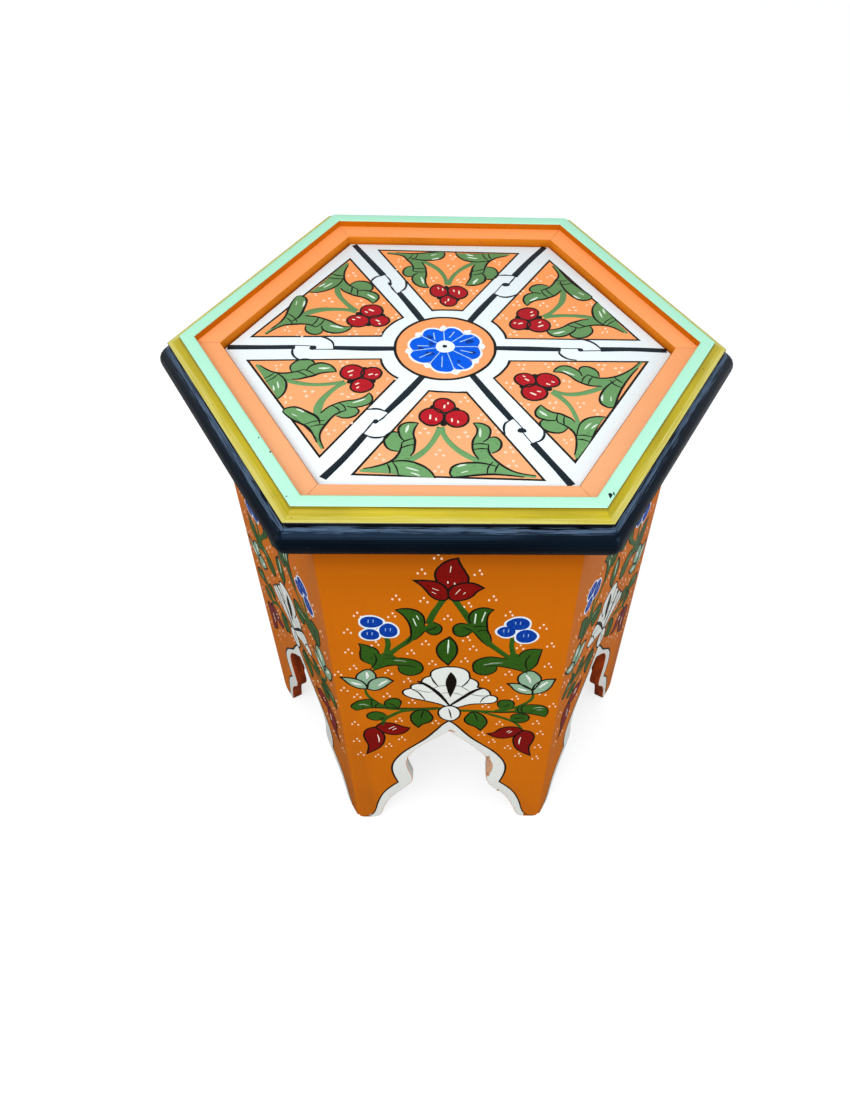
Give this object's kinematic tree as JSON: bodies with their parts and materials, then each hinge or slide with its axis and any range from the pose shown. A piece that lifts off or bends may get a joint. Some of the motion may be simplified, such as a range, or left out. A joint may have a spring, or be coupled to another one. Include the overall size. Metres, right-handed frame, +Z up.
{
  "type": "moroccan kursi stool",
  "caption": "Hexagonal stool with a framed, moulded top and arched side boards that run down to pointed feet, painted all over with flowers.",
  "frame": {"origin": "on the floor under the middle of the stool", "axes": "+Z up, -Y towards the viewer out of the front board, +X to the viewer's right"},
  "size_m": [0.4156, 0.36, 0.45],
  "materials": {
    "side_paint": "orange gloss paint with painted flowers, brown wood inside",
    "frame_paint": "gloss paint in bands: orange ledge, mint land, olive cove",
    "nosing_paint": "dark navy gloss paint",
    "field_paint": "white gloss paint with painted flowers",
    "bare_wood": "bare, planed",
    "steel": "zinc plated"
  },
  "bodies": {
    "root": {"side_board_1": "side_paint", "side_board_2": "side_paint", "side_board_3": "side_paint", "side_board_4": "side_paint", "side_board_5": "side_paint", "side_board_6": "side_paint", "frame_rail_1": "frame_paint", "frame_rail_2": "frame_paint", "frame_rail_3": "frame_paint", "frame_rail_4": "frame_paint", "frame_rail_5": "frame_paint", "frame_rail_6": "frame_paint", "nosing_1": "nosing_paint", "nosing_2": "nosing_paint", "nosing_3": "nosing_paint", "nosing_4": "nosing_paint", "nosing_5": "nosing_paint", "nosing_6": "nosing_paint", "top_cleat_1": "bare_wood", "top_cleat_2": "bare_wood", "top_cleat_3": "bare_wood", "top_cleat_4": "bare_wood", "top_cleat_5": "bare_wood", "top_cleat_6": "bare_wood", "corner_block_1": "bare_wood", "corner_block_2": "bare_wood", "corner_block_3": "bare_wood", "corner_block_4": "bare_wood", "corner_block_5": "bare_wood", "corner_block_6": "bare_wood", "top_plank_front": "bare_wood", "top_plank_middle": "bare_wood", "top_plank_back": "bare_wood", "field_panel": "field_paint", "cleat_screw_1": "steel", "cleat_screw_2": "steel", "cleat_screw_3": "steel", "cleat_screw_4": "steel", "cleat_screw_5": "steel", "cleat_screw_6": "steel", "cleat_screw_7": "steel", "cleat_screw_8": "steel", "cleat_screw_9": "steel", "cleat_screw_10": "steel", "cleat_screw_11": "steel", "cleat_screw_12": "steel", "frame_pin_1": "steel", "frame_pin_2": "steel", "frame_pin_3": "steel", "frame_pin_4": "steel", "frame_pin_5": "steel", "frame_pin_6": "steel", "frame_pin_7": "steel", "frame_pin_8": "steel", "frame_pin_9": "steel", "frame_pin_10": "steel", "frame_pin_11": "steel", "frame_pin_12": "steel"}
  },
  "joints": []
}
